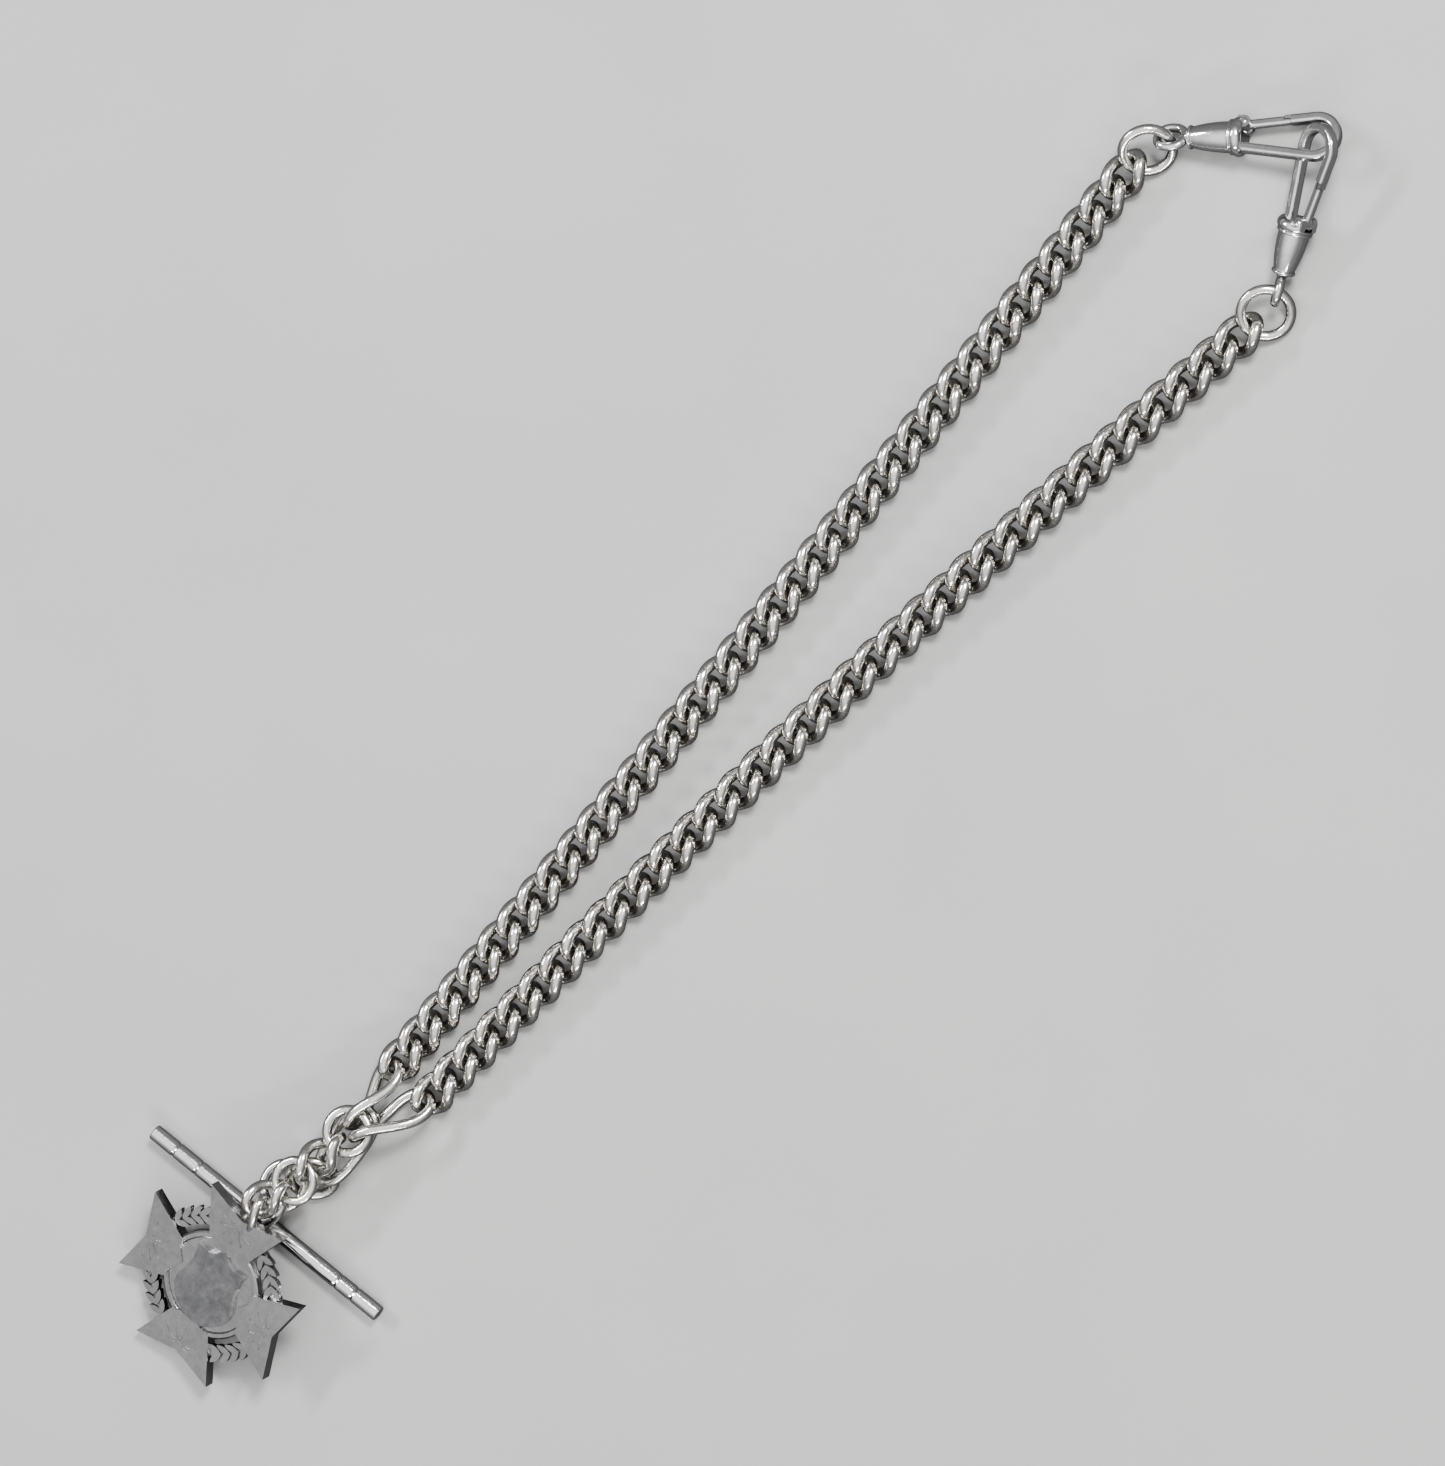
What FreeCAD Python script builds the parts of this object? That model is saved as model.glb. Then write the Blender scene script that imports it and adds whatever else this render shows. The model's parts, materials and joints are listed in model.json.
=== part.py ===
import FreeCAD, Part
import math
import os
from FreeCAD import Matrix, Placement, Vector

# Double Albert pocket-watch chain in sterling silver.  All sizes are millimetres.
# The chain lies folded in two on a flat surface.  +X runs up between the two
# lengths of curb chain towards the two watch clips, and the T-bar and the fob
# hang off towards -X.  Places below are measured from the surface under the
# centre ring; the finished pieces are moved so that the middle of the centre
# ring is the origin.

UP = Vector(0, 0, 1)
CENTRE_RING_MIDDLE = Vector(0.67, 0.01, 4.88)

# ---------------------------------------------------------------- curb chain
CURB_WIRE = 1.60            # wire diameter of a curb link
CURB_HALF_LENGTH = 3.12     # half length of a link on the wire centre line
CURB_HALF_WIDTH = 2.05      # half width of a link on the wire centre line
CURB_TWIST = 50.0           # each end of a link is turned this far out of flat
CURB_ROUNDNESS = 2.6        # 2 is an ellipse, higher is nearer to a slot
CURB_PITCH_X = 4.393        # spacing of the links measured along X
CURB_Z = 2.02               # height of the chain's middle above the surface
FIRST_LINK_X = 12.60
UPPER_LINKS = 37            # links in the length that ends in the upper clip
LOWER_LINKS = 36
LINKS_PER_SEGMENT = 3
SEGMENTS = 12
CURVE_NODES = 12            # points where the arcs of a bent wire meet
FINE_STEPS = 20             # steps between two of those points

# Each length of chain is a shallow curve: side offset of the first link,
# slope of the straight line to the last link, and the bow off that line.
UPPER_PATH = (1.75, 0.0625, -0.55)
LOWER_PATH = (-4.75, -0.0600, 1.90)
PATH_LENGTH = 157.0

# ---------------------------------------------------- long links and rings
# Ovals: start and end of the wire centre line, half width on the centre
# line, turn of the oval out of flat at its two ends, wire diameter.
CENTRE_OVALS = {
    "upper_long_link": ((1.11, 0.55, 4.05), (11.61, 1.77, 2.21), 2.62, (79.9, 139.5), 1.45),
    "lower_long_link": ((0.47, -1.03, 4.50), (11.31, -4.76, 1.90), 2.62, (85.8, 142.3), 1.45),
    "centre_oval": ((-7.64, -1.48, 2.93), (4.17, 0.01, 2.83), 2.50, (-18.3, -6.2), 1.30),
    "fob_drop_link_1": ((-8.21, 0.28, 6.44), (-0.61, 0.13, 5.17), 2.00, (72.3, -86.3), 1.50),
    "fob_drop_link_2": ((-16.69, 2.37, 7.00), (-10.46, 0.98, 6.33), 1.95, (27.6, -84.7), 1.40),
}
# Rings: centre, radius of the wire centre line, wire diameter, direction the
# ring is strung along, its pitch, and its roll about that direction.
RINGS = {
    "centre_ring": (CENTRE_RING_MIDDLE, 2.95, 1.35, 0.0, -11.1, -4.6),
    "fob_drop_ring": ((-9.36, 0.52, 6.38), 2.80, 1.25, 180.0, 4.9, 9.0),
    "t_bar_drop_ring_1": ((-8.76, -0.50, 2.46), 3.10, 1.25, 141.0, 9.7, -34.3),
    "t_bar_drop_ring_2": ((-12.58, 1.74, 2.28), 3.10, 1.25, 141.0, -3.8, 18.4),
    "upper_jump_ring": ((175.43, 11.62, 2.65), 3.30, 1.34, -6.9, 6.0, 35.6),
    "lower_jump_ring": ((171.11, -14.25, 2.03), 3.30, 1.34, 0.9, 2.5, 23.9),
}
CLOSED_RING = "lower_jump_ring"   # shows a fine line where its ends were closed
CLOSING_DIRECTION = -97.0
CLOSING_WIDTH = 0.14
CLOSING_DEPTH = 0.28

# ------------------------------------------------------------------ T-bar
T_BAR_LENGTH = 40.1
T_BAR_RADIUS = 1.13
T_BAR_CENTRE = Vector(-18.70, 0.22, 1.15)
T_BAR_ANGLE = 97.5          # direction of the bar, seen from above
T_BAR_GROOVES = (-15.7, -12.8, 12.0, 16.0)
T_BAR_GROOVE_HALF_WIDTH = 0.28
T_BAR_GROOVE_DEPTH = 0.12
T_BAR_CHAMFER = 0.12
T_LOOP_START = Vector(-18.55, 0.15, 1.46)
T_LOOP_END = Vector(-13.33, 0.11, 4.21)
T_LOOP_HALF_WIDTH = 1.75
T_LOOP_ROLLS = (-77.6, -56.1)
T_LOOP_WIRE = 1.20
SMALL_LOOP_ROUNDNESS = 2.4

# ------------------------------------------------------------------- fob
FOB_CENTRE = Vector(-29.3, -0.63, 4.35)
FOB_TILT = 14.0             # slope of the medal where it leans on the rings
FOB_SLOPE_DIRECTION = -17.0  # direction of steepest rise, seen from above
FOB_TOP_ANGLE = 28.0        # the hanging star, measured from that direction
FOB_TIP_RADIUS = 14.76
FOB_TIP_SPREAD = 25.9
FOB_NOTCH_RADIUS = 11.6
FOB_STAR_ROOT_RADIUS = 7.2
FOB_STAR_ROOT_SPREAD = 27.0
FOB_STAR_HEEL_RADIUS = 6.5
FOB_STAR_HEEL_SPREAD = 14.0
FOB_STAR_INNER_RADIUS = 5.2
FOB_STAR_THICKNESS = 1.75
FOB_DISC_RADIUS = 7.7
FOB_DISC_THICKNESS = 1.45
FOB_FIELD_DEPTH = 0.25      # the field of the disc lies below its rim
FOB_RIM_WIDTH = 0.75
FOB_RIM_BEVEL = 0.22
FOB_RAY_FOCUS_RADIUS = 10.6
FOB_RAY_DISTANCE = 1.80     # focus to the middle of a ray
FOB_RAY_HALF_LENGTH = 1.30
FOB_RAY_HALF_WIDTH = 0.24
FOB_RAY_DEPTH = 0.09
FOB_RAY_TURNS = (88, 115, 146, 180, 214, 245, 272)
FOB_WREATH_INNER = 9.2
FOB_WREATH_OUTER = 10.5
FOB_WREATH_THICKNESS = 0.85
FOB_LEAF_PLACES = (31.8, 40.6, 49.4, 58.2)    # between two stars, in degrees
FOB_LEAF_OFFSET = 0.58
FOB_LEAF_SPLAY = 36.0
FOB_LEAF_HALF_LENGTH = 1.20
FOB_LEAF_HALF_WIDTH = 0.44
FOB_LEAF_THICKNESS = 0.80
SHIELD_THICKNESS = 0.75
FOB_BAIL_START = Vector(-19.21, 0.99, 5.93)
FOB_BAIL_END = Vector(-14.17, 1.94, 7.06)
FOB_BAIL_HALF_WIDTH = 1.80
FOB_BAIL_ROLLS = (123.6, 96.4)
FOB_BAIL_WIRE = 1.20

# ----------------------------------------------------------------- clips
CLIP_NECK_X = -7.60
HOOK_NOSE_X = 9.60
HOOK_NOSE_RADIUS = 2.80
HOOK_FOOT_Y = -1.45
HOOK_FOOT_X = -0.90
HOOK_WIDTH = 1.30
HOOK_HEIGHT = 1.45
HOOK_CORNER = 0.40
GATE_PIVOT = Vector(-0.10, 1.72, 0.0)
GATE_LENGTH = 6.05
GATE_PIN_RADIUS = 0.33
PIN_HEAD_RADIUS = 0.48
GATE_BORE_RADIUS = 0.39
GATE_THICKNESS = 1.06
KNUCKLE_RADIUS = 0.78
LUG_GAP = 1.18
LUG_OUTER = 2.56
STEM_RADIUS = 0.50
STEM_BORE_RADIUS = 0.56
EYE_WIRE = 1.16
EYE_HALF_WIDTH = 1.70
EYE_NEAR = 0.62             # neck of the clip to the near wire of the eye
EYE_ROUNDNESS = 2.2
# Where each clip lies: middle of the barrel's face, turn, pitch and roll of
# the clip, side its gate is on, reach of its eye and roll of its eye.
UPPER_CLIP = (Vector(185.89, 3.40, 2.75), -45.16, 1.98, -31.3, 1, 4.32, 132.3)
LOWER_CLIP = (Vector(183.35, -9.05, 3.22), 25.96, 5.73, 35.75, -1, 4.01, 106.6)


# ================================================================= helpers
def unit(vector):
    """The same direction with length one."""
    return vector * (1.0 / vector.Length)


def flat(angle):
    """Horizontal unit vector at an angle from +X, in degrees."""
    return Vector(math.cos(math.radians(angle)), math.sin(math.radians(angle)), 0)


def placed(shape, origin, x_axis, y_axis):
    """Move a shape from its own axes to the given origin and directions."""
    e_x = unit(x_axis)
    e_z = unit(e_x.cross(y_axis))
    e_y = e_z.cross(e_x)
    matrix = Matrix(
        e_x.x, e_y.x, e_z.x, origin.x,
        e_x.y, e_y.y, e_z.y, origin.y,
        e_x.z, e_y.z, e_z.z, origin.z,
        0, 0, 0, 1)
    moved = shape.copy()
    moved.Placement = Placement(matrix).multiply(shape.Placement)
    return moved


def oval_points(start, end, half_width, roll_start, roll_end, roundness):
    """Centre line of a bent-wire oval between two end points.

    The plane of the oval is turned about its long axis by roll_start at the
    start and by roll_end at the far end, with the turn quickest half way.
    """
    axis = unit(end - start)
    half_length = (end - start).Length / 2.0
    middle = (start + end) * 0.5
    side = unit(UP.cross(axis))
    lift = axis.cross(side)
    power = 2.0 / roundness
    points = []
    count = CURVE_NODES * FINE_STEPS
    for index in range(count):
        angle = 2.0 * math.pi * index / count
        cosine = math.cos(angle)
        sine = math.sin(angle)
        along = math.copysign(abs(cosine) ** power, cosine)
        across = math.copysign(abs(sine) ** power, sine) * half_width
        mix = 0.5 * (1.0 + math.sin(math.pi / 2.0 * along))
        roll = math.radians(roll_start + (roll_end - roll_start) * mix)
        sideways = side * math.cos(roll) + lift * math.sin(roll)
        points.append(middle + axis * (along * half_length) + sideways * across)
    return points


def arc_between(start, heading, end):
    """Circular arc that leaves the start point along a heading."""
    chord = end - start
    normal = heading.cross(chord)
    if normal.Length < 1e-7 * chord.Length:
        return Part.makeLine(start, end)
    inward = unit(unit(normal).cross(heading))
    radius = chord.dot(chord) / (2.0 * chord.dot(inward))
    centre = start + inward * radius
    middle = centre + unit((start + end) * 0.5 - centre) * abs(radius)
    return Part.Arc(start, middle, end).toShape()


def smooth_arcs(points, headings):
    """Pairs of arcs through the points, smooth where they meet."""
    arcs = []
    for index, start in enumerate(points):
        follow = (index + 1) % len(points)
        end = points[follow]
        head = headings[index]
        tail = headings[follow]
        chord = end - start
        along = chord.dot(head + tail)
        spread = 2.0 * (1.0 - head.dot(tail))
        square = chord.dot(chord)
        if spread < 1e-9:
            reach = square / (2.0 * along)
        else:
            reach = (-along + math.sqrt(along * along + spread * square)) / spread
        first_corner = start + head * reach
        second_corner = end - tail * reach
        joint = (first_corner + second_corner) * 0.5
        arcs.append(arc_between(start, head, joint))
        arcs.append(arc_between(joint, unit(second_corner - first_corner), end))
    return arcs


def closed_wire_solid(fine_points, radius):
    """Round wire of the given radius bent along a closed centre line.

    The line is drawn as smooth arcs; the tube is swept in two halves that
    share their end circles.
    """
    curve = Part.BSplineCurve()
    curve.interpolate(Points=fine_points, PeriodicFlag=True)
    points = fine_points[::FINE_STEPS]
    headings = [unit(curve.tangent(curve.parameter(point))[0]) for point in points]
    arcs = smooth_arcs(points, headings)
    half = len(points) // 2
    faces = []
    for first in (0, half):
        spine = Part.Wire(arcs[2 * first:2 * (first + half)])
        circle = Part.Circle(points[first], headings[first], radius)
        faces += spine.makePipe(Part.Wire([circle.toShape()])).Faces
    shell = Part.makeShell(faces)
    shell.sewShape()
    return Part.makeSolid(shell.Shells[0])


def oval(start, end, half_width, rolls, wire, roundness):
    """Solid oval link made of round wire."""
    points = oval_points(start, end, half_width, rolls[0], rolls[1], roundness)
    return closed_wire_solid(points, wire / 2.0)


def ring_normal(direction, pitch, roll):
    """Square to a ring, rolled about the direction the ring is strung along."""
    along = flat(direction) * math.cos(math.radians(pitch)) + UP * math.sin(math.radians(pitch))
    side = unit(UP.cross(along))
    lift = along.cross(side)
    return lift * math.cos(math.radians(roll)) - side * math.sin(math.radians(roll))


def closing_line(centre, radius, wire, normal):
    """Thin slot across the outside of a ring, where its ends were closed."""
    outward = flat(CLOSING_DIRECTION)
    outward = unit(outward - normal * outward.dot(normal))
    corner = Vector(0, -CLOSING_WIDTH / 2.0, -wire)
    slot = Part.makeBox(CLOSING_DEPTH + wire, CLOSING_WIDTH, 2.0 * wire, corner)
    start = centre + outward * (radius + wire / 2.0 - CLOSING_DEPTH)
    return placed(slot, start, outward, normal.cross(outward))


def turned(profile):
    """Solid of revolution about the X axis.

    The profile is a list of (x, r) corners; an entry of four numbers
    (x_mid, r_mid, x, r) is an arc through the first pair to the second.
    """
    edges = []
    last = Vector(profile[0][0], profile[0][1], 0)
    first = last
    for entry in profile[1:]:
        corner = Vector(entry[-2], entry[-1], 0)
        if len(entry) == 4:
            middle = Vector(entry[0], entry[1], 0)
            edges.append(Part.Arc(last, middle, corner).toShape())
        else:
            edges.append(Part.makeLine(last, corner))
        last = corner
    edges.append(Part.makeLine(last, first))
    face = Part.Face(Part.Wire(edges))
    solid = face.revolve(Vector(0, 0, 0), Vector(1, 0, 0), 360)
    return solid


def block(x_range, y_range, z_range):
    """Box from three pairs of limits."""
    size = (x_range[1] - x_range[0], y_range[1] - y_range[0], z_range[1] - z_range[0])
    return Part.makeBox(size[0], size[1], size[2], Vector(x_range[0], y_range[0], z_range[0]))


def cylinder(start, axis, length, radius):
    """Cylinder starting at a point and running along an axis."""
    return Part.makeCylinder(radius, length, start, axis)


def save(name, solids):
    """Write one node as a STEP file, measured from the centre ring's middle."""
    if not isinstance(solids, (list, tuple)):
        solids = [solids]
    clean = []
    for item in solids:
        for solid in item.Solids:
            if solid.Volume < 0:
                solid.reverse()
            clean.append(solid)
    shape = clean[0] if len(clean) == 1 else Part.makeCompound(clean)
    shape.translate(CENTRE_RING_MIDDLE * -1.0)
    shape.exportStep(os.path.join("parts", name + ".step"))


# ============================================================== curb chain
def path_y(path, x):
    """Side position of a length of chain at a distance along X."""
    share = (x - FIRST_LINK_X) / PATH_LENGTH
    return path[0] + path[1] * (x - FIRST_LINK_X) + path[2] * math.sin(math.pi * share)


def station(path, half_step):
    """Point on a length of chain; even half steps are link centres."""
    x = FIRST_LINK_X + CURB_PITCH_X * half_step / 2.0
    return Vector(x, path_y(path, x), CURB_Z)


def curb_link(path, index):
    """One twisted curb link, lying along the chain."""
    centre = station(path, 2 * index)
    along = unit(station(path, 2 * index + 1) - station(path, 2 * index - 1))
    start = centre - along * CURB_HALF_LENGTH
    end = centre + along * CURB_HALF_LENGTH
    rolls = (CURB_TWIST, -CURB_TWIST)
    return oval(start, end, CURB_HALF_WIDTH, rolls, CURB_WIRE, CURB_ROUNDNESS)


def build_curb_chain(name, path, count):
    """Write a length of chain in segments of a few links each."""
    for segment in range(SEGMENTS):
        first = segment * LINKS_PER_SEGMENT
        last = first + LINKS_PER_SEGMENT if segment < SEGMENTS - 1 else count
        links = [curb_link(path, index) for index in range(first, last)]
        save("{}_curb_links_{:02d}".format(name, segment + 1), links)


# ========================================================== links and rings
def build_centre_links():
    """Rings and ovals between the curb chain, the T-bar and the fob."""
    for name, (start, end, half_width, rolls, wire) in CENTRE_OVALS.items():
        save(name, oval(Vector(start), Vector(end), half_width, rolls, wire, CURB_ROUNDNESS))
    for name, (centre, radius, wire, direction, pitch, roll) in RINGS.items():
        middle = Vector(centre)
        normal = ring_normal(direction, pitch, roll)
        ring = Part.makeTorus(radius, wire / 2.0, middle, normal)
        if name == CLOSED_RING:
            ring = ring.cut(closing_line(middle, radius, wire, normal))
        save(name, ring)


def build_t_bar():
    """Grooved round bar with the wire loop it hangs by."""
    half = T_BAR_LENGTH / 2.0
    radius = T_BAR_RADIUS
    chamfer = T_BAR_CHAMFER
    profile = [(-half, 0.0), (-half, radius - chamfer), (-half + chamfer, radius)]
    for centre in T_BAR_GROOVES:
        profile.append((centre - T_BAR_GROOVE_HALF_WIDTH, radius))
        profile.append((centre, radius - T_BAR_GROOVE_DEPTH))
        profile.append((centre + T_BAR_GROOVE_HALF_WIDTH, radius))
    profile += [(half - chamfer, radius), (half, radius - chamfer), (half, 0.0)]
    along = flat(T_BAR_ANGLE)
    bar = placed(turned(profile), T_BAR_CENTRE, along, flat(T_BAR_ANGLE + 90))
    save("t_bar", bar)
    loop = oval(T_LOOP_START, T_LOOP_END, T_LOOP_HALF_WIDTH, T_LOOP_ROLLS, T_LOOP_WIRE,
                SMALL_LOOP_ROUNDNESS)
    save("t_bar_loop", biggest(loop.cut(bar)))


def biggest(shape):
    """The largest solid of a shape, without the scraps left by a cut."""
    return sorted(shape.Solids, key=lambda solid: solid.Volume)[-1]


# ==================================================================== fob
def polar(radius, angle, height=0.0):
    """Point at a radius and an angle in the plane of the medal."""
    a = math.radians(angle)
    return Vector(radius * math.cos(a), radius * math.sin(a), height)


def prism(corners, thickness):
    """Flat plate with the given outline."""
    face = Part.Face(Part.makePolygon(corners + [corners[0]]))
    return face.extrude(Vector(0, 0, thickness))


def star_corners(direction, base):
    """Outline of one star: two long points with a notch between them."""
    outline = [
        (FOB_STAR_ROOT_RADIUS, -FOB_STAR_ROOT_SPREAD),
        (FOB_TIP_RADIUS, -FOB_TIP_SPREAD),
        (FOB_NOTCH_RADIUS, 0.0),
        (FOB_TIP_RADIUS, FOB_TIP_SPREAD),
        (FOB_STAR_ROOT_RADIUS, FOB_STAR_ROOT_SPREAD),
        (FOB_STAR_HEEL_RADIUS, FOB_STAR_HEEL_SPREAD),
        (FOB_STAR_INNER_RADIUS, 0.0),
        (FOB_STAR_HEEL_RADIUS, -FOB_STAR_HEEL_SPREAD),
    ]
    return [polar(radius, direction + angle, base) for radius, angle in outline]


def lens(half_length, half_width, thickness):
    """Flat plate with two curved sides that meet in a point at each end."""
    tip_in = Vector(-half_length, 0, 0)
    tip_out = Vector(half_length, 0, 0)
    edges = [
        Part.Arc(tip_in, Vector(0, half_width, 0), tip_out).toShape(),
        Part.Arc(tip_out, Vector(0, -half_width, 0), tip_in).toShape(),
    ]
    return Part.Face(Part.Wire(edges)).extrude(Vector(0, 0, thickness))


def star_rays(direction, top):
    """Shallow cuts that fan inwards from just behind the notch of a star."""
    cuts = []
    focus = polar(FOB_RAY_FOCUS_RADIUS, direction, top - FOB_RAY_DEPTH)
    for turn in FOB_RAY_TURNS:
        heading = flat(direction + turn)
        ray = lens(FOB_RAY_HALF_LENGTH, FOB_RAY_HALF_WIDTH, 1.0)
        middle = focus + heading * FOB_RAY_DISTANCE
        cuts.append(placed(ray, middle, heading, UP.cross(heading)))
    return cuts


def leaf(radius, direction, turn, back):
    """Small pointed leaf lying on the wreath."""
    plate = lens(FOB_LEAF_HALF_LENGTH, FOB_LEAF_HALF_WIDTH, FOB_LEAF_THICKNESS)
    heading = flat(direction + turn)
    return placed(plate, polar(radius, direction, back), heading, UP.cross(heading))


def shield_plate(back, thickness):
    """Plain shield with three points at the top and a rounded foot."""
    half = [
        (5.90, 0.00), (4.95, 1.10), (4.40, 2.30), (4.55, 3.40), (4.73, 4.28),
        (3.70, 3.86), (2.30, 3.85), (1.00, 3.98), (-0.30, 4.35), (-1.70, 4.85),
        (-2.90, 4.72), (-4.10, 4.05), (-5.20, 2.90), (-5.95, 1.50), (-6.15, 0.00),
    ]
    corners = [Vector(up, across, back) for up, across in half]
    corners += [Vector(up, -across, back) for up, across in reversed(half[1:-1])]
    return prism(corners, thickness)


def fob_placed(shape):
    """Move a fob piece from its own axes to where the fob lies."""
    rise = flat(FOB_SLOPE_DIRECTION) * math.cos(math.radians(FOB_TILT))
    rise = rise + UP * math.sin(math.radians(FOB_TILT))
    level = flat(FOB_SLOPE_DIRECTION + 90)
    turn = math.radians(FOB_TOP_ANGLE)
    top = rise * math.cos(turn) + level * math.sin(turn)
    left = level * math.cos(turn) - rise * math.sin(turn)
    return placed(shape, FOB_CENTRE, top, left)


def build_fob():
    """Open-work medal with a disc, stars and a wreath; shield and bail on it."""
    low = -FOB_DISC_THICKNESS / 2.0
    rim = low + FOB_DISC_THICKNESS
    field = rim - FOB_FIELD_DEPTH
    bevel = FOB_RIM_BEVEL
    disc = turned([
        (low, 0.0), (low, FOB_DISC_RADIUS - bevel), (low + bevel, FOB_DISC_RADIUS),
        (rim - bevel, FOB_DISC_RADIUS), (rim, FOB_DISC_RADIUS - bevel),
        (rim, FOB_DISC_RADIUS - FOB_RIM_WIDTH),
        (field, FOB_DISC_RADIUS - FOB_RIM_WIDTH - bevel), (field, 0.0),
    ])
    disc = placed(disc, Vector(0, 0, 0), UP, flat(0))
    outer = cylinder(Vector(0, 0, low), UP, FOB_WREATH_THICKNESS, FOB_WREATH_OUTER)
    inner = cylinder(Vector(0, 0, low - 1), UP, 4.0, FOB_WREATH_INNER)
    body = disc.fuse(outer.cut(inner))

    leaf_back = low + FOB_WREATH_THICKNESS - FOB_LEAF_THICKNESS / 2.0
    middle = (FOB_WREATH_INNER + FOB_WREATH_OUTER) / 2.0
    leaves = []
    for quarter in range(4):
        for place in FOB_LEAF_PLACES:
            direction = 90.0 * quarter + place
            for side in (-1, 1):
                radius = middle + side * FOB_LEAF_OFFSET
                turn = 90.0 + side * FOB_LEAF_SPLAY
                leaves.append(leaf(radius, direction, turn, leaf_back))
    body = body.multiFuse(leaves)

    stars = [prism(star_corners(90.0 * quarter, low), FOB_STAR_THICKNESS)
             for quarter in range(4)]
    body = body.multiFuse(stars)
    for quarter in range(4):
        for cut in star_rays(90.0 * quarter, low + FOB_STAR_THICKNESS):
            body = body.cut(cut)
    body = body.cut(shield_plate(field, 3.0))
    body = biggest(body)
    save("fob_body", fob_placed(body))
    save("fob_shield", fob_placed(shield_plate(field, SHIELD_THICKNESS)))

    bail = oval(FOB_BAIL_START, FOB_BAIL_END, FOB_BAIL_HALF_WIDTH,
                FOB_BAIL_ROLLS, FOB_BAIL_WIRE, SMALL_LOOP_ROUNDNESS)
    save("fob_bail", biggest(bail.cut(fob_placed(body))))


# ================================================================== clips
def rounded_bar_face(origin, along, across, width, height):
    """Rounded rectangle square to a direction, to sweep into a bar."""
    lift = unit(along.cross(across))
    w = width / 2.0
    h = height / 2.0
    c = HOOK_CORNER
    k = c * (1.0 - math.sqrt(0.5))
    spots = [
        (w, -h + c), (w, h - c), (w - k, h - k), (w - c, h), (-w + c, h),
        (-w + k, h - k), (-w, h - c), (-w, -h + c), (-w + k, -h + k),
        (-w + c, -h), (w - c, -h), (w - k, -h + k)]
    p = [origin + across * a + lift * b for a, b in spots]
    edges = [
        Part.makeLine(p[0], p[1]), Part.Arc(p[1], p[2], p[3]).toShape(),
        Part.makeLine(p[3], p[4]), Part.Arc(p[4], p[5], p[6]).toShape(),
        Part.makeLine(p[6], p[7]), Part.Arc(p[7], p[8], p[9]).toShape(),
        Part.makeLine(p[9], p[10]), Part.Arc(p[10], p[11], p[0]).toShape()]
    return Part.Wire(edges)


def tangent_to_nose(point, side):
    """Where a straight leg from a point meets the round nose of the hook."""
    reach = Vector(HOOK_NOSE_X - point.x, -point.y, 0)
    length = math.sqrt(reach.Length ** 2 - HOOK_NOSE_RADIUS ** 2)
    angle = math.atan2(reach.y, reach.x) + side * math.asin(HOOK_NOSE_RADIUS / reach.Length)
    heading = Vector(math.cos(angle), math.sin(angle), 0)
    return point + heading * length, heading, length


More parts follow.
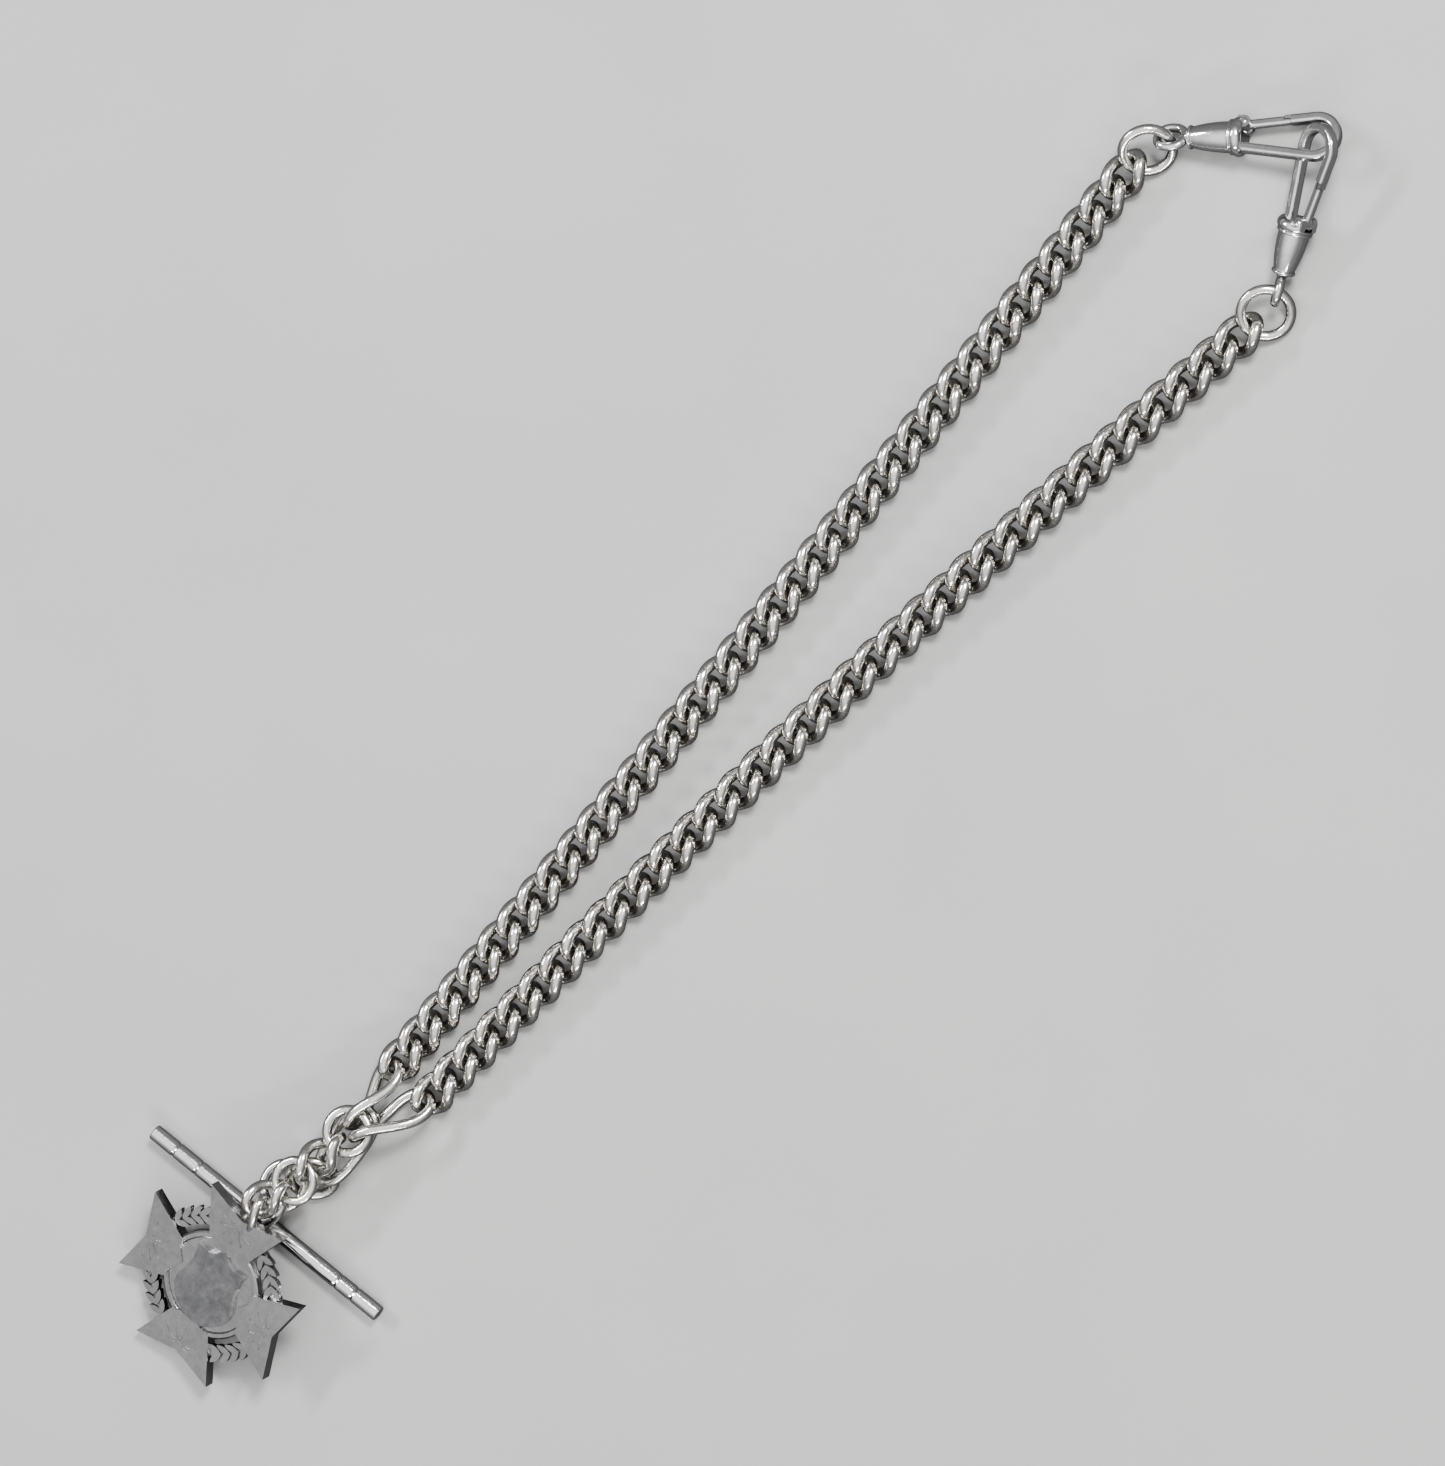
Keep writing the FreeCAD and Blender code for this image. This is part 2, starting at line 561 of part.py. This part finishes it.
def clip_body():
    """Tapered barrel, collar, gate lugs and the fixed hook, in one piece."""
    neck = CLIP_NECK_X
    barrel = turned([
        (neck, 0.0), (neck, 1.35), (neck + 0.25, 1.60, neck + 0.50, 1.35),
        (neck + 0.62, 1.35), (neck + 0.70, 1.46), (-4.60, 1.90, -2.00, 2.08),
        (-1.95, 2.26), (-1.75, 2.38, -1.55, 2.26), (-1.50, 2.32),
        (-0.85, 2.60, -0.20, 2.32), (-0.08, 2.05), (0.0, 1.95), (0.0, 0.0)])
    bore = cylinder(Vector(neck - 0.1, 0, 0), Vector(1, 0, 0), 3.0, STEM_BORE_RADIUS)
    pocket = cylinder(Vector(-4.75, 0, 0), Vector(1, 0, 0), 0.85, 1.00)
    body = barrel.cut(bore).cut(pocket)

    foot = Vector(HOOK_FOOT_X, HOOK_FOOT_Y, 0)
    foot_end, foot_heading, _ = tangent_to_nose(foot, -1)
    gate_end, gate_heading, gate_run = tangent_to_nose(GATE_PIVOT, 1)
    tip = GATE_PIVOT + gate_heading * (GATE_LENGTH + 0.10)
    nose = Vector(HOOK_NOSE_X + HOOK_NOSE_RADIUS, 0, 0)
    spine = Part.Wire([
        Part.makeLine(foot, foot_end),
        Part.Arc(foot_end, nose, gate_end).toShape(),
        Part.makeLine(gate_end, tip)])
    across = Vector(-foot_heading.y, foot_heading.x, 0)
    section = rounded_bar_face(foot, foot_heading, across, HOOK_WIDTH, HOOK_HEIGHT)
    hook = spine.makePipeShell([section], True, False)
    body = body.fuse(hook)

    lip = block((GATE_LENGTH - 0.75, GATE_LENGTH + 0.30), (0.08, 0.62), (-0.52, 0.52))
    gate_across = Vector(-gate_heading.y, gate_heading.x, 0)
    body = body.fuse(placed(lip, GATE_PIVOT, gate_heading, gate_across))

    half_gap = LUG_GAP / 2.0
    slot = block((-1.05, 1.20), (GATE_PIVOT.y - 0.92, 4.0), (-half_gap, half_gap))
    for side in (-1, 1):
        start = half_gap if side > 0 else -LUG_OUTER / 2.0
        thickness = LUG_OUTER / 2.0 - half_gap
        cheek = cylinder(Vector(GATE_PIVOT.x, GATE_PIVOT.y, start), UP, thickness, 0.86)
        web = block((-1.0, GATE_PIVOT.x), (0.9, GATE_PIVOT.y + 0.86), (start, start + thickness))
        body = body.fuse(cheek).fuse(web)
    body = body.cut(slot)
    hole = cylinder(Vector(GATE_PIVOT.x, GATE_PIVOT.y, -3), UP, 6.0, GATE_PIN_RADIUS + 0.01)
    body = body.cut(hole)
    for side in (-1, 1):
        seat = Vector(GATE_PIVOT.x, GATE_PIVOT.y, side * LUG_OUTER / 2.0)
        body = body.cut(cylinder(seat, UP * side, 1.5, PIN_HEAD_RADIUS + 0.04))
    return biggest(body.removeSplitter())


def clip_gate():
    """Gate lever: knuckle on the pin and a bar that closes on the hook."""
    half = GATE_THICKNESS / 2.0
    knuckle = cylinder(Vector(0, 0, -half), UP, GATE_THICKNESS, KNUCKLE_RADIUS)
    section = rounded_bar_face(Vector(0.30, 0, 0), Vector(1, 0, 0), Vector(0, 1, 0), 1.20,
                               GATE_THICKNESS)
    bar = Part.Face(section).extrude(Vector(GATE_LENGTH - 0.30, 0, 0))
    lever = knuckle.fuse(bar)
    lap = block((GATE_LENGTH - 0.85, GATE_LENGTH + 0.5), (-0.04, 1.5), (-2, 2))
    bore = cylinder(Vector(0, 0, -3), UP, 6.0, GATE_BORE_RADIUS)
    lever = biggest(lever.cut(lap).cut(bore).removeSplitter())
    _, heading, _ = tangent_to_nose(GATE_PIVOT, 1)
    return placed(lever, GATE_PIVOT, heading, Vector(-heading.y, heading.x, 0))


def clip_pin():
    """Pin the gate turns on, with a small domed head at each end."""
    half = LUG_OUTER / 2.0
    pin = turned([
        (-half - 0.22, 0.0), (-half - 0.20, 0.20),
        (-half - 0.13, 0.42, -half - 0.005, PIN_HEAD_RADIUS),
        (-half - 0.005, GATE_PIN_RADIUS), (half + 0.005, GATE_PIN_RADIUS),
        (half + 0.005, PIN_HEAD_RADIUS), (half + 0.13, 0.42, half + 0.20, 0.20),
        (half + 0.22, 0.0)])
    return placed(pin, GATE_PIVOT, UP, Vector(0, 1, 0))


def clip_axes(turn, pitch, roll, gate_side):
    """Direction the clip points in, and the direction of its gate side."""
    along = flat(turn) * math.cos(math.radians(pitch)) + UP * math.sin(math.radians(pitch))
    side = unit(UP.cross(along)) * gate_side
    lift = along.cross(side) * gate_side
    gate_way = side * math.cos(math.radians(roll)) + lift * math.sin(math.radians(roll))
    return along, gate_way


def swivel_eye(neck, along, reach, roll):
    """Wire eye on a stem that turns in the barrel, kept in by its head."""
    loop = oval(neck - along * reach, neck - along * EYE_NEAR, EYE_HALF_WIDTH, (roll, roll),
                EYE_WIRE, EYE_ROUNDNESS)
    stem = turned([
        (-0.70, 0.0), (-0.70, STEM_RADIUS), (-0.42, STEM_RADIUS), (-0.36, 0.78),
        (-0.14, 0.82), (-0.10, 0.76), (-0.10, STEM_RADIUS), (2.96, STEM_RADIUS),
        (2.96, 0.86), (3.36, 0.86), (3.50, 0.70), (3.50, 0.0)])
    stem = placed(stem, neck, along, UP)
    return biggest(loop.fuse(stem).removeSplitter())


def build_clip(name, face_centre, turn, pitch, roll, gate_side, eye_reach, eye_roll):
    """One watch clip: barrel and hook, gate, pin and swivel eye."""
    along, gate_way = clip_axes(turn, pitch, roll, gate_side)
    save(name + "_clip_body", placed(clip_body(), face_centre, along, gate_way))
    save(name + "_clip_gate", placed(clip_gate(), face_centre, along, gate_way))
    save(name + "_clip_pin", placed(clip_pin(), face_centre, along, gate_way))
    neck = face_centre + along * CLIP_NECK_X
    save(name + "_clip_swivel_eye", swivel_eye(neck, along, eye_reach, eye_roll))


# ================================================================== build
os.makedirs("parts", exist_ok=True)
build_curb_chain("upper", UPPER_PATH, UPPER_LINKS)
build_curb_chain("lower", LOWER_PATH, LOWER_LINKS)
build_centre_links()
build_t_bar()
build_fob()
build_clip("upper", *UPPER_CLIP)
build_clip("lower", *LOWER_CLIP)
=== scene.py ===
import bpy
import json
import math
from mathutils import Matrix, Vector

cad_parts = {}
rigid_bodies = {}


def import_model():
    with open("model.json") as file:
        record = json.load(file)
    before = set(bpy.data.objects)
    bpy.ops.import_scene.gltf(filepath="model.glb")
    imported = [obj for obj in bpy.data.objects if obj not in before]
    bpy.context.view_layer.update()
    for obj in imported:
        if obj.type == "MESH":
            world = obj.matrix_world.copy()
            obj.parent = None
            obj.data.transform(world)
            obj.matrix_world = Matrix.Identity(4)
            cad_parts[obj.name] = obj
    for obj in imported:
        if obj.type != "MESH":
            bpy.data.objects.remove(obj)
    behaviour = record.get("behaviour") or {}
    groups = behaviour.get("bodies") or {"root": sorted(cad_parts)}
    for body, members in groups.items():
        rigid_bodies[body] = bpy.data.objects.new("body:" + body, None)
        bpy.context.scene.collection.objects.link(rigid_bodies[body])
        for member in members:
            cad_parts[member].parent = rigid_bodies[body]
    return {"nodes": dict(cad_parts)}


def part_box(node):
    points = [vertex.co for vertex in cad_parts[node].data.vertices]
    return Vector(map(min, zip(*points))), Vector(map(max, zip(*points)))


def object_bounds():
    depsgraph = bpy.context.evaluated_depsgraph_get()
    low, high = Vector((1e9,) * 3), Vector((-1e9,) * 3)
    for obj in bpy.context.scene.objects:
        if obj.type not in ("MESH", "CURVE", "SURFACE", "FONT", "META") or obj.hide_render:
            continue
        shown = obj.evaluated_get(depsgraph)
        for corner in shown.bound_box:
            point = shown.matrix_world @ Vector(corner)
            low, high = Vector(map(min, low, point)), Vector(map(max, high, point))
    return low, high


# Silver double Albert watch chain.  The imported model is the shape; this script
# gives it old silver that is worn bright where it rubs and dark where it
# doesn't, a pale floor, soft studio light and a slightly leaning camera.

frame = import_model()
cad_low, cad_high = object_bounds()
NODES = frame["nodes"]

MM = 0.001
WHITE = (1.0, 1.0, 1.0)

# ---------------------------------------------------------------- camera sizes
VIEW_CENTRE = Vector((76.3, 0.5, -4.88)) * MM
VIEW_WIDTH = 192.7 * MM          # width of the floor that the image covers
VIEW_DISTANCE = 1.30
VIEW_LEAN = 20.0                 # camera's lean off straight down, degrees
VIEW_LEAN_DIRECTION = -23.6      # way it leans, from +X on the floor
VIEW_SPIN = 22.0                 # image right, measured from that direction
SENSOR = 36.0
NEAR_CLIP = 0.05
FAR_CLIP = 20.0

# ---------------------------------------------------------------- silver's sizes
# Noise scales are in waves per millimetre.
BROAD_SCALE = 0.11               # changes of tone along the chain
CLOUD_SCALE = 0.9
PATCH_SCALE = 2.4                # gaps in the tarnish
SPOT_SCALE = 2.6                 # changes of shine
KNOCK_SCALE = 0.7
WAVE_SCALE = 0.6
SCRATCH_SCALE = 1.0
FIRST_SCRATCHES = (0.5, 9.0, 3.0)    # stretch that turns noise into fine lines
SECOND_SCRATCHES = (8.0, 0.6, 3.0)
FIRST_TURN = (0.3, 0.2, 0.7)
SECOND_TURN = (0.1, 0.5, 0.2)
SCRATCH_DEPTH = 0.016 * MM
KNOCK_DEPTH = 0.030 * MM
WAVE_DEPTH = 0.12 * MM
TARNISH_ROUGHNESS = 0.30
HOLLOW_SAMPLES = 6

# ---------------------------------------------------------------- floor
FLOOR_HALF = 1.6
FLOOR_GAP = 0.02 * MM
FLOOR_DARKER = (0.44, 0.44, 0.435)
FLOOR_LIGHTER = (0.465, 0.465, 0.455)
# Painted reflection: the floor's colour as the silver mirrors it, much darker than the floor
# itself.
PAINTED_FLOOR_REFLECTION = (0.05, 0.05, 0.052)
FLOOR_ROUGHNESS = 0.75
FLOOR_TONE_SCALE = 0.02
FLOOR_GRAIN_SCALE = 1.5
FLOOR_GRAIN_DEPTH = 0.02 * MM
FLOOR_GRAIN_STRENGTH = 0.2
PROBED_PARTS = (
    "fob_body", "t_bar", "upper_clip_body", "lower_clip_body",
    "upper_curb_links_04", "upper_curb_links_08", "upper_curb_links_12",
    "lower_curb_links_04", "lower_curb_links_08", "lower_curb_links_12",
)

# ---------------------------------------------------------------- light
# Brightness of the room by the sine of the height above the horizon.
ROOM = [(0.0, 0.20), (0.30, 0.22), (0.50, 0.34), (0.70, 0.66), (0.88, 1.05), (1.0, 1.20)]
ROOM_BLUE = 1.02
# name: place (right, up, height), size, power, colour
SOFT_LIGHTS = {
    "key": ((0.42, 0.55, 0.75), (0.26, 0.20), 9.5, WHITE),
    "left": ((-0.62, 0.42, 0.55), (0.42, 0.07), 4.2, (0.97, 0.98, 1.0)),
    "front": ((0.10, -0.80, 0.50), (0.50, 0.06), 3.2, (1.0, 0.98, 0.96)),
}


# ---------------------------------------------------------------- node helpers
def set_stops(ramp, stops, tint=WHITE):
    """Fill a colour ramp; stops are (place, grey or colour)."""
    while len(ramp.elements) < len(stops):
        ramp.elements.new(0.5)
    for element, (place, value) in zip(ramp.elements, stops):
        colour = (value, value, value) if isinstance(value, float) else value
        element.position = place
        element.color = (*[part * share for part, share in zip(colour, tint)], 1.0)


class Material:
    """A small wrapper that adds and links shader nodes."""

    def __init__(self, name):
        self.material = bpy.data.materials.new(name)
        self.material.use_nodes = True
        self.tree = self.material.node_tree
        self.tree.nodes.clear()
        self.output = self.add("ShaderNodeOutputMaterial")
        self.shader = self.add("ShaderNodeBsdfPrincipled")
        self.link(self.shader, "BSDF", self.output, "Surface")
        self.place = self.add("ShaderNodeTexCoord")

    def add(self, kind, **inputs):
        node = self.tree.nodes.new(kind)
        for key, value in inputs.items():
            node.inputs[key.replace("_", " ")].default_value = value
        return node

    def link(self, source, output, target, target_input):
        self.tree.links.new(source.outputs[output], target.inputs[target_input])

    def stretched(self, scale, turn=(0.0, 0.0, 0.0)):
        """Object coordinates in millimetres, stretched and turned."""
        node = self.add("ShaderNodeMapping")
        node.inputs["Scale"].default_value = [factor / MM for factor in scale]
        node.inputs["Rotation"].default_value = turn
        self.link(self.place, "Object", node, "Vector")
        return node

    def noise(self, scale, detail=4.0, rough=0.55, stretch=(1.0, 1.0, 1.0), turn=(0.0, 0.0, 0.0)):
        node = self.add("ShaderNodeTexNoise", Scale=scale, Detail=detail, Roughness=rough)
        self.link(self.stretched(stretch, turn), "Vector", node, "Vector")
        return node

    def ramp(self, source, output, stops):
        """Colour ramp from a value."""
        node = self.add("ShaderNodeValToRGB")
        set_stops(node.color_ramp, stops)
        self.link(source, output, node, "Fac")
        return node

    def math(self, operation, first, second):
        """Maths node; each side is a number or a (node, output) pair."""
        node = self.add("ShaderNodeMath")
        node.operation = operation
        for index, side in enumerate((first, second)):
            if isinstance(side, tuple):
                self.tree.links.new(side[0].outputs[side[1]], node.inputs[index])
            else:
                node.inputs[index].default_value = side
        return node

    def mix(self, amount, first, second):
        """Colour mix; amount is a (node, output) pair, sides pairs or colours."""
        node = self.add("ShaderNodeMix")
        node.data_type = "RGBA"
        self.tree.links.new(amount[0].outputs[amount[1]], node.inputs[0])
        for index, side in ((6, first), (7, second)):
            if isinstance(side[0], float):
                node.inputs[index].default_value = (*side, 1.0)
            else:
                self.tree.links.new(side[0].outputs[side[1]], node.inputs[index])
        return node

    def bump(self, source, output, height, strength, below=None):
        node = self.add("ShaderNodeBump", Distance=height, Strength=strength)
        self.link(source, output, node, "Height")
        if below is not None:
            self.link(below, "Normal", node, "Normal")
        return node


# ---------------------------------------------------------------- silver
def silver_tone(m, bright, dull):
    """Broad changes of tone along the chain and finer clouding."""
    broad = m.noise(BROAD_SCALE, detail=3.0)
    cloud = m.noise(CLOUD_SCALE, detail=6.0, rough=0.62)
    total = m.math("ADD", (broad, "Fac"), (cloud, "Fac"))
    average = m.math("MULTIPLY", (total, "Value"), 0.5)
    step = m.ramp(average, "Value", [(0.40, 0.0), (0.60, 1.0)])
    return m.mix((step, "Color"), bright, dull)


def tarnish_amount(m, reach, strength):
    """Tarnish stays where cloth and fingers don't reach."""
    hidden = m.add("ShaderNodeAmbientOcclusion", Distance=reach * MM)
    hidden.samples = HOLLOW_SAMPLES
    hidden_step = m.ramp(hidden, "AO", [(0.08, 1.0), (0.45, 0.45), (0.85, 0.0)])
    patchy = m.noise(PATCH_SCALE, detail=4.0)
    patchy_step = m.ramp(patchy, "Fac", [(0.30, 0.55), (0.62, 1.0)])
    tarnish = m.math("MULTIPLY", (hidden_step, "Color"), (patchy_step, "Color"))
    return m.math("MULTIPLY", (tarnish, "Value"), strength)


def silver_roughness(m, low_rough, high_rough, tarnish):
    """Small spots and the tarnish change the shine."""
    spots = m.noise(SPOT_SCALE, detail=5.0, rough=0.7)
    rough = m.ramp(spots, "Fac", [(0.35, low_rough), (0.68, high_rough)])
    dirt = m.math("MULTIPLY", (tarnish, "Value"), TARNISH_ROUGHNESS)
    return m.math("ADD", (rough, "Color"), (dirt, "Value"))


def silver_bumps(m, scratch, dents):
    """Fine scratches that run two ways, knocks and a gentle unevenness."""
    first = m.noise(SCRATCH_SCALE, detail=2.0, stretch=FIRST_SCRATCHES, turn=FIRST_TURN)
    second = m.noise(SCRATCH_SCALE, detail=2.0, stretch=SECOND_SCRATCHES, turn=SECOND_TURN)
    lines = m.math("MULTIPLY", (first, "Fac"), (second, "Fac"))
    normal = m.bump(lines, "Value", SCRATCH_DEPTH, scratch)
    knocks = m.add("ShaderNodeTexVoronoi", Scale=KNOCK_SCALE)
    m.link(m.stretched((1.0, 1.0, 1.0)), "Vector", knocks, "Vector")
    knock_step = m.ramp(knocks, "Distance", [(0.02, 0.0), (0.22, 1.0)])
    normal = m.bump(knock_step, "Color", KNOCK_DEPTH, dents, normal)
    waves = m.noise(WAVE_SCALE, detail=2.0)
    return m.bump(waves, "Fac", WAVE_DEPTH, dents, normal)


def silver(name, bright, dull, dark, shine, scratch, dents, hollow):
    """Sterling silver: tone, tarnish in the hollows, scratches and dents.

    shine is the lowest and highest roughness, hollow the reach of the tarnish
    in millimetres and its strength.
    """
    m = Material(name)
    m.shader.inputs["Metallic"].default_value = 1.0
    tone = silver_tone(m, bright, dull)
    tarnish = tarnish_amount(m, *hollow)
    colour = m.mix((tarnish, "Value"), (tone, 2), dark)
    m.link(colour, 2, m.shader, "Base Color")
    m.link(silver_roughness(m, *shine, tarnish), "Value", m.shader, "Roughness")
    m.link(silver_bumps(m, scratch, dents), "Normal", m.shader, "Normal")
    return m.material


# ---------------------------------------------------------------- materials
CURB = silver(
    "curb_silver", bright=(0.84, 0.82, 0.785), dull=(0.72, 0.69, 0.645),
    dark=(0.055, 0.046, 0.038), shine=(0.13, 0.30), scratch=0.35, dents=0.55,
    hollow=(1.30, 1.0))
LINK = silver(
    "link_silver", bright=(0.87, 0.855, 0.825), dull=(0.76, 0.735, 0.69),
    dark=(0.060, 0.052, 0.044), shine=(0.12, 0.27), scratch=0.35, dents=0.50,
    hollow=(1.20, 0.95))
POLISHED = silver(
    "polished_silver", bright=(0.91, 0.91, 0.90), dull=(0.82, 0.81, 0.79),
    dark=(0.09, 0.085, 0.08), shine=(0.08, 0.19), scratch=0.40, dents=0.22,
    hollow=(0.80, 0.8))
SATIN = silver(
    "fob_silver", bright=(0.62, 0.62, 0.62), dull=(0.49, 0.49, 0.485),
    dark=(0.07, 0.068, 0.064), shine=(0.17, 0.27), scratch=0.12, dents=0.10,
    hollow=(0.45, 1.0))
SHIELD = silver(
    "shield_silver", bright=(0.50, 0.50, 0.51), dull=(0.30, 0.30, 0.31),
    dark=(0.10, 0.098, 0.095), shine=(0.11, 0.18), scratch=0.12, dents=0.05,
    hollow=(0.30, 0.3))


def material_for(node):
    """The finish each part of the chain has."""
    if "curb_links" in node:
        return CURB
    if node == "fob_shield":
        return SHIELD
    if node == "fob_body":
        return SATIN
    if node == "t_bar" or "clip" in node:
        return POLISHED
    return LINK


for node_name, node_object in NODES.items():
    node_object.data.materials.clear()
    node_object.data.materials.append(material_for(node_name))


# ---------------------------------------------------------------- floor
def pale_floor():
    """Plain pale matt table top; in reflections its colour is swapped for a painted dark
    reflection, so the silver mirrors it darker than it is.
    """
    m = Material("pale_floor")
    broad = m.noise(FLOOR_TONE_SCALE, detail=3.0)
    tone = m.ramp(broad, "Fac", [(0.3, FLOOR_DARKER), (0.7, FLOOR_LIGHTER)])
    # Painted reflection: glossy rays see the floor near-black instead of its own pale tone.
    ray = m.add("ShaderNodeLightPath")
    seen = m.mix((ray, "Is Glossy Ray"), (tone, "Color"), PAINTED_FLOOR_REFLECTION)
    m.link(seen, 2, m.shader, "Base Color")
    m.shader.inputs["Roughness"].default_value = FLOOR_ROUGHNESS
    fine = m.noise(FLOOR_GRAIN_SCALE, detail=4.0)
    grain = m.bump(fine, "Fac", FLOOR_GRAIN_DEPTH, FLOOR_GRAIN_STRENGTH)
    m.link(grain, "Normal", m.shader, "Normal")
    mesh = bpy.data.meshes.new("floor")
    size = FLOOR_HALF
    corners = [(-size, -size, 0.0), (size, -size, 0.0), (size, size, 0.0), (-size, size, 0.0)]
    mesh.from_pydata(corners, [], [(0, 1, 2, 3)])
    floor = bpy.data.objects.new("floor", mesh)
    floor.data.materials.append(m.material)
    bpy.context.scene.collection.objects.link(floor)
    return floor


def probes_on(node):
    """Empties at the low corners of a part, which move with the part."""
    low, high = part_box(node)
    probes = []
    for x in (low.x, high.x):
        for y in (low.y, high.y):
            probe = bpy.data.objects.new("probe", None)
            probe.parent = NODES[node].parent
            probe.location = (x, y, low.z)
            bpy.context.scene.collection.objects.link(probe)
            probes.append(probe)
    return probes


def let_floor_drop(floor):
    """Keep the floor under the chain, also when a joint folds a part downwards."""
    driver = floor.driver_add("location", 2).driver
    driver.type = "SCRIPTED"
    heights = [f"{cad_low.z:.6f}"]
    for node in PROBED_PARTS:
        for probe in probes_on(node):
            variable = driver.variables.new()
            variable.name = f"p{len(heights)}"
            variable.type = "TRANSFORMS"
            target = variable.targets[0]
            target.id = probe
            target.transform_type = "LOC_Z"
            target.transform_space = "WORLD_SPACE"
            heights.append(variable.name)
    driver.expression = f"min({','.join(heights)})-{FLOOR_GAP:.6f}"


let_floor_drop(pale_floor())


# ---------------------------------------------------------------- light
lean = math.radians(VIEW_LEAN_DIRECTION)
spin = math.radians(VIEW_SPIN)
way = Vector((math.cos(lean), math.sin(lean), 0.0))
across = Vector((-math.sin(lean), math.cos(lean), 0.0))
image_right = way * math.cos(spin) - across * math.sin(spin)
image_up = way * math.sin(spin) + across * math.cos(spin)


def studio_place(right, up, height):
    """Point given along the image's right and up, and above the floor."""
    return VIEW_CENTRE + image_right * right + image_up * up + Vector((0.0, 0.0, height))


def soft_light(name, place, size, power, colour):
    """Rectangular soft box aimed at the middle of the view."""
    data = bpy.data.lights.new(name, "AREA")
    data.shape = "RECTANGLE"
    data.size, data.size_y = size
    data.energy = power
    data.color = colour
    light = bpy.data.objects.new(name, data)
    light.location = place
    light.rotation_mode = "QUATERNION"
    light.rotation_quaternion = (VIEW_CENTRE - place).to_track_quat("-Z", "Y")
    bpy.context.scene.collection.objects.link(light)


def studio_world():
    """Room that is bright overhead and dim towards the walls."""
    world = bpy.data.worlds.new("studio")
    world.use_nodes = True
    tree = world.node_tree
    place = tree.nodes.new("ShaderNodeTexCoord")
    split = tree.nodes.new("ShaderNodeSeparateXYZ")
    ramp = tree.nodes.new("ShaderNodeValToRGB")
    tree.links.new(place.outputs["Generated"], split.inputs[0])
    tree.links.new(split.outputs["Z"], ramp.inputs["Fac"])
    tree.links.new(ramp.outputs["Color"], tree.nodes["Background"].inputs["Color"])
    set_stops(ramp.color_ramp, ROOM, tint=(1.0, 1.0, ROOM_BLUE))
    bpy.context.scene.world = world


studio_world()
for light_name, (light_place, light_size, light_power, light_colour) in SOFT_LIGHTS.items():
    soft_light(light_name, studio_place(*light_place), light_size, light_power, light_colour)


# ---------------------------------------------------------------- camera
def leaning_camera():
    """Long lens over the chain, leaning the way the object was seen."""
    angle = math.radians(VIEW_LEAN)
    up = Vector((0.0, 0.0, 1.0))
    back = way * math.sin(angle) + up * math.cos(angle)
    flat_way = way * math.cos(angle) - up * math.sin(angle)
    right = flat_way * math.cos(spin) - across * math.sin(spin)
    top = flat_way * math.sin(spin) + across * math.cos(spin)
    data = bpy.data.cameras.new("camera")
    data.sensor_width = SENSOR
    data.sensor_fit = "HORIZONTAL"
    data.lens = SENSOR * VIEW_DISTANCE / VIEW_WIDTH
    data.clip_start = NEAR_CLIP
    data.clip_end = FAR_CLIP
    camera = bpy.data.objects.new("camera", data)
    rotation = Matrix((right, top, back)).transposed().to_4x4()
    camera.matrix_world = Matrix.Translation(VIEW_CENTRE + back * VIEW_DISTANCE) @ rotation
    bpy.context.scene.collection.objects.link(camera)
    bpy.context.scene.camera = camera


leaning_camera()
bpy.context.scene.view_settings.view_transform = "AgX"
bpy.context.scene.view_settings.look = "AgX - Medium High Contrast"
